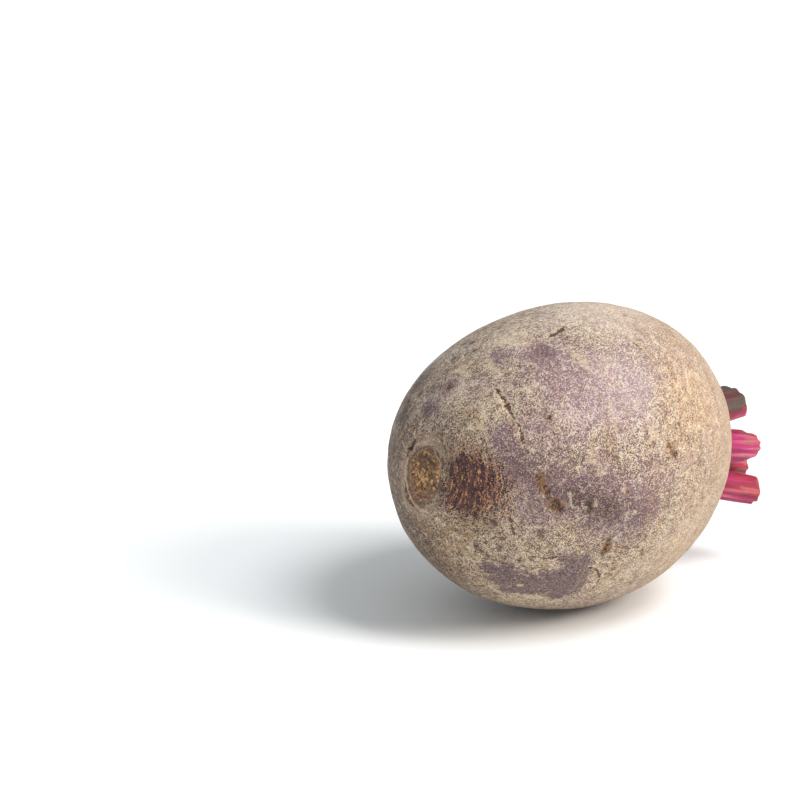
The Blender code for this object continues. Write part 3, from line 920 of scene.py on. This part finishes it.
    # relief too fine for the mesh
    relief = fine
    heights = ((fleck, 0.5), (island, 0.4), (lineDark, -1.5), (poreShare, -1.0), (bareShare, -0.5))
    for source, weight in heights:
        relief = add("Math", source, weight, relief)
    bump = add("Bump", {"Height": relief, "Strength": 0.6, "Distance": 0.1 * mm})
    rough = add("MapRange", bareShare, 0, 1, 0.6, 0.85)
    shader = add("BsdfPrincipled", {"Base Color": colour, "Roughness": rough, "Normal": bump, "IOR": 1.45,
                                    "Sheen Weight": 0.1, "Sheen Roughness": 0.5})
    add("OutputMaterial", {"Surface": shader}, out=None)
    return mat


rootSkin = wrapRoot()
print("root wrapped:", len(rootSkin.data.polygons), "faces")
seenRoot = sculptRoot(rootSkin)
markRoot(rootSkin, seenRoot)
rootSkin.data.materials.append(rootMaterial())
pick(rootSkin)
bpy.ops.object.shade_smooth()
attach(rootSkin, "root")
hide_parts("swollen_root")
print("root skin finished")


# The dry bases of shed leaves round the crown

flapShape = {
    # distance from the crown's middle in mm, how many, and how tall in mm
    "rings": ((14.2, 11, 2.7), (16.2, 14, 1.9), (18.6, 15, 0.9)),
    "facesAcross": 14,
    "facesUp": 5,
    "thickness": 0.35 * mm,
    "crumple": 0.35,        # mm
}


def makeFlaps():
    # thin ragged scales standing on the crown's shoulder, leaning back from the stalks
    dice = random.Random(11)
    skinPoints = (readPoints(rootSkin) - np.array(crownCentre)) @ crownFrame.T / mm
    skinPoints = skinPoints[skinPoints[:, 2] > -14]
    wide, high = flapShape["facesAcross"], flapShape["facesUp"]
    places, faces, spots = [], [], []
    for radius, count, height in flapShape["rings"]:
        for k in range(count):
            middle = (k + dice.uniform(-0.3, 0.3)) / count * 2 * math.pi
            half = 2 * math.pi / count * dice.uniform(0.42, 0.72)
            tall, lean = height * dice.uniform(0.5, 1.2), dice.uniform(0.1, 0.9)
            away = radius + dice.uniform(-0.6, 0.6)
            start = len(places)
            for i in range(wide + 1):
                s = 2 * i / wide - 1
                turn = middle + half * s
                spot = np.array((away * math.cos(turn), away * math.sin(turn)))
                base = skinPoints[np.argmin(np.linalg.norm(skinPoints[:, :2] - spot, axis=1)), 2]
                uneven = 1 + 0.3 * noise.noise(Vector((turn * 9, radius, 0)))
                edge = tall * (1 - s * s * 0.85) * uneven * dice.uniform(0.82, 1.1)
                for j in range(high + 1):
                    t = j / high
                    r = away + lean * edge * t * t + 0.5 * (1 - s * s) * t
                    places.append((r * math.cos(turn), r * math.sin(turn), base - 0.5 + (edge + 0.5) * t))
                    spots.append((turn * radius, t, k * 1.0))
            for i in range(wide):
                for j in range(high):
                    a = start + i * (high + 1) + j
                    faces.append((a, a + high + 1, a + high + 2, a + 1))
    places = np.array(places)
    for axis in range(3):
        places[:, axis] += flapShape["crumple"] * unevenness(places, 1.7, 40 + axis) * np.array(spots)[:, 1]
    places = places @ crownFrame * mm + np.array(crownCentre)
    mesh = bpy.data.meshes.new("dry_leaf_bases")
    mesh.from_pydata([tuple(p) for p in places], [], faces)
    flaps = bpy.data.objects.new("dry_leaf_bases", mesh)
    bpy.context.scene.collection.objects.link(flaps)
    storeVector(flaps, "flapPlace", np.array(spots).T)
    pick(flaps)
    applyModifiers(flaps, ("SOLIDIFY", {"thickness": flapShape["thickness"], "offset": 0}),
                   ("SUBSURF", {"levels": 1, "render_levels": 1}))
    faceOutward(flaps)
    flaps.data.materials.append(flapMaterial())
    bpy.ops.object.shade_smooth()
    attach(flaps, "root")
    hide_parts("swollen_root")
    return flaps


def flapMaterial():
    # Dry leaf base: what is left of a shed leaf. It is papery, dull and brown, with stiff fibres up it
    # and paler torn edges.
    mat, add = newMaterial("dry leaf base, papery")
    place = add("Attribute", attribute_name="flapPlace", out="Vector")
    up = add("SeparateXYZ", place, out="Y")
    fibrePlace = add("Mapping", {"Vector": place, "Scale": (1, 0.5, 3)})
    # fibres about 0.35 mm apart, and blotches 2 mm across
    fibre = add("TexNoise", fibrePlace, 1 / 0.35, 3, 0.65)
    blotch = add("TexNoise", fibrePlace, 1 / 2.2, 4, 0.7)
    shade = add("Math", blotch, 1.2, fibre)
    colour = coat(add, "#4a3126", "#a67f58", shade, 0.85, 1.4)
    torn = add("Math", fibre, 0.5, up)
    colour = coat(add, colour, "#c9ab80", torn, 1, 1.3, 0.7)
    colour = coat(add, colour, "#8a4a48", up, 0.45, 0.05, 0.4)
    bump = add("Bump", {"Height": fibre, "Strength": 0.5, "Distance": 0.15 * mm})
    shader = add("BsdfPrincipled", {"Base Color": colour, "Roughness": 0.8, "Normal": bump, "IOR": 1.4})
    add("OutputMaterial", {"Surface": shader}, out=None)
    return mat


dryBases = makeFlaps()
print("dry leaf bases finished:", len(dryBases.data.polygons), "faces")


# The leaf stalks

stalkShape = {
    "grain": 0.26 * mm,      # the remesh's cell
    "smoothing": 3,
    "fibres": 0.05 * mm,
    "ragged": 0.35 * mm,
    "ribs": 0.1,             # mm
    "drawnIn": 0.05 * mm,
    "gap": 0.3,              # mm between a CAD stalk and the crown
    "sunk": 1.1,             # mm that its foot goes down into the crown's flesh
    "bow": 1.6,              # mm that its edges lie further in than its middle
}
# turn round the crown, distance from its middle, facing past the turn, half width, thickness, ribs,
# length, splay, lean: as the CAD stalks; then how olive, how dark, how pink each one is, and how many mm
# thicker one edge is, below 0 for the other edge
stalkRows = (
    (84, 9.9, 24, 5.5, 4.6, 4, 20.4, 12, 0, 0.9, 0.92, 0.5, 1.2),
    (162, 9.4, 0, 4.4, 5, 5, 18.7, 6, 2, 0.15, 0, 0.7, 0),
    (235, 9.4, 0, 4.8, 5, 5, 24.8, 9, -1, 0.1, 0, 0.2, -0.5),
    (307, 9.3, 0, 4.4, 4.6, 4, 18, 12, -2, 0.35, 0.3, 0.4, 0),
    (18, 9.3, 0, 4.5, 4.4, 4, 20, 9, 2, 0.25, 0.2, 0.5, 0),
    (212, 4.3, 0, 3.1, 3.4, 3, 25, 2, 5, 0, 0, 0.8, 0),
    (330, 3.6, 0, 2.3, 2.6, 3, 15, 3, 2, 0, 0, 0.8, 0),
    (86, 3.6, 0, 2.3, 2.6, 3, 12, 2, -2, 0, 0, 0.8, 0),
)


def makeStalk(number, row):
    turn, radius, facing, halfWidth, thickness, ribs, length, splay, lean, olive, dark, pink, heel = row
    stalk = roundCopy(f"leaf_stalk_{number}", f"stalk_{number}", 0)
    bpy.ops.object.mode_set(mode="EDIT")
    bpy.ops.mesh.select_all(action="DESELECT")
    bpy.ops.mesh.edges_select_sharp(sharpness=math.radians(50))
    bpy.ops.transform.edge_crease(value=0.85)
    bpy.ops.object.mode_set(mode="OBJECT")
    applyModifiers(stalk, ("SUBSURF", {"levels": 2, "render_levels": 2}),
                   ("REMESH", {"mode": "VOXEL", "voxel_size": stalkShape["grain"]}),
                   ("SMOOTH", {"factor": 0.5, "iterations": stalkShape["smoothing"]}))
    faceOutward(stalk)

    # millimetres out from the crown's middle, across the stalk, and up along it
    points, normals = readPoints(stalk), readNormals(stalk)
    crown = (points - np.array(crownCentre)) @ crownFrame.T / mm
    a, b = math.radians(turn), math.radians(turn + facing)
    flat = crown[:, :2] - radius * np.array((math.cos(a), math.sin(a)))
    rise = crown[:, 2] - stalkShape["gap"]
    out = flat @ np.array((math.cos(b), math.sin(b))) - rise * math.tan(math.radians(splay))
    across = flat @ np.array((-math.sin(b), math.cos(b))) - rise * math.tan(math.radians(lean))
    side = across / halfWidth
    depth = out + stalkShape["bow"] * side * side
    back = smooth(-0.3, 1.0, depth)
    rib = np.cos(math.pi * ribs * (side + 1)) * back
    axisOut = normals @ np.array(crownOut)
    cutFace = smooth(0.45, 0.8, axisOut) * smooth(length * 0.5, length * 0.8, rise)

    fibre = np.array([noise.noise(Vector((u * 2.2, v * 2.2, w * 0.16 + number)))
                      for u, v, w in zip(out, across, rise)])
    ragged = unevenness(crown, 0.8, 20 + number)
    height = fibre * stalkShape["fibres"] * (1 - cutFace) + rib * stalkShape["ribs"] * mm
    height -= cutFace * stalkShape["ragged"] * (0.6 + ragged)
    foot = 1 - smooth(0.0, 2.5, rise)
    points = points + normals * (height - stalkShape["drawnIn"])[:, None]
    points -= np.array(crownOut) * (foot * stalkShape["sunk"] * mm)[:, None]
    inward = np.array(crownAcross) * math.cos(b) + np.array(crownUp) * math.sin(b)
    flare = 1 + 1.5 * np.clip(1 - rise / length, 0, 1)
    edgeShare = smooth(-0.4, 0.8, side * np.sign(heel)) * smooth(1.5, -1.5, depth)
    points -= inward * (abs(heel) * mm * flare * edgeShare)[:, None]   # the thicker edge
    writePoints(stalk, points)
    storeVector(stalk, "stalkPlace", (out, across, rise))
    storeColour(stalk, "stalkTone", (rib * 0.5 + 0.5, cutFace, np.clip(rise / length, 0, 1)))
    inside = np.minimum(1 - np.abs(side), 1 - np.abs(depth) / (thickness / 2)) * thickness / 2
    storeVector(stalk, "stalkEdge", (side, depth, inside))
    stalk.data.materials.clear()
    stalk.data.materials.append(stalkMaterial(number, olive, dark, pink))
    pick(stalk)
    bpy.ops.object.shade_smooth()
    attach(stalk, "root")
    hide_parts(f"leaf_stalk_{number}")
    return stalk


def stalkMaterial(number, olive, dark, pink):
    # Beet leaf stalk: crisp wet flesh under a thin waxy skin. It lets a little light in and shines softly,
    # with pale ribs, dark grooves and a drying cut.
    mat, add = newMaterial(f"beet stalk flesh {number}")
    place = add("Attribute", attribute_name="stalkPlace", out="Vector")
    tone = add("Attribute", attribute_name="stalkTone", out="Color")
    rib, cutFace, share = add("SeparateColor", tone).node.outputs
    edges = add("Attribute", attribute_name="stalkEdge", out="Vector")
    depth, inside = add("SeparateXYZ", edges).node.outputs[1:]
    # fibres run along the stalk, about 0.4 mm apart, with broader streaks among them
    stretched = add("Mapping", {"Vector": place, "Location": (number * 3.1, number * 1.7, 0),
                                "Scale": (1, 1, 0.07)})
    fibre = add("TexNoise", stretched, 1 / 0.42, 3, 0.6)
    streak = add("TexNoise", stretched, 1 / 1.3, 3, 0.55)
    broad = add("TexNoise", stretched, 1 / 3.2, 1, 0.5)
    blotch = add("TexNoise", place, 1 / 2.4, 4, 0.65)

    light = -1.3
    for source, weight in ((streak, 2.6), (rib, 0.4), (fibre, 0.5)):
        light = add("Math", source, weight, light)
    redder = add("MapRange", broad, 0.4, 0.6)
    groove = add("Mix", redder, "#8e1049", "#80112a")
    ridge = add("Mix", redder, "#bd2f74", "#b52c4b")
    colour = add("Mix", light, groove, ridge, clamp_factor=True)
    colour = coat(add, colour, "#de86a4", light, 0.62, 1.15, 0.35 + 0.45 * pink)
    # tan streaks, where the thin skin has dried
    dried = add("Math", share, 0.3, streak)
    dried = add("Math", blotch, 0.5, dried)
    colour = coat(add, colour, "#a86a48", dried, 1.02, 1.14, 0.55)
    # burgundy and olive on the outside of a stalk that stood in the sun
    sunSide = add("Math", blotch, 1.5, depth)
    sunSide = add("MapRange", sunSide, 1.2, 2)
    sunny = add("Math", sunSide, dark, operation="MULTIPLY")
    burgundy = add("Mix", streak, "#3a161b", "#602a28")
    colour = add("Mix", sunny, colour, burgundy)
    green = add("Math", broad, 0.7, blotch)
    green = add("MapRange", green, 0.7, 0.88, olive)
    greenBand = add("MapRange", depth, 3.2, 2.5)
    green = add("Math", green, greenBand, operation="MULTIPLY")
    green = add("Math", green, sunSide, operation="MULTIPLY")
    colour = add("Mix", green, colour, "#423c2b")
    # the drying cut: pale wet flesh with darker strings in it, red towards the skin, with tan edges
    strings = add("TexVoronoi", place, 1 / 1.5, out="Distance")
    strings = add("MapRange", strings, 0.34, 0.2, 0.75)
    flesh = add("Mix", blotch, "#c98b84", "#e8cdb0")
    flesh = add("Mix", strings, flesh, "#a84a5c")
    redRim = add("Math", fibre, 0.6, inside)
    flesh = coat(add, flesh, "#a83452", redRim, 1.1, 0.5, 0.8)
    colour = add("Mix", cutFace, colour, flesh)
    nearCut = add("Math", blotch, 0.35, share)
    colour = coat(add, colour, "#8f6844", nearCut, 1.12, 1.22, 0.75)
    # the foot, where stalk and crown have grown together, is pale
    colour = coat(add, colour, "#e3b09c", share, 0.16, 0.02, 0.5)

    bump = add("Bump", {"Height": fibre, "Strength": 0.4, "Distance": 0.12 * mm})
    shader = add("BsdfPrincipled", {"Base Color": colour, "Roughness": 0.42, "Normal": bump, "IOR": 1.4,
                                    "Subsurface Weight": 0.2, "Subsurface Radius": (1, 0.25, 0.2),
                                    "Subsurface Scale": 1.2 * mm})
    add("OutputMaterial", {"Surface": shader}, out=None)
    return mat


for index, row in enumerate(stalkRows):
    stalk = makeStalk(index + 1, row)
    print("stalk", index + 1, "finished:", len(stalk.data.polygons), "faces")
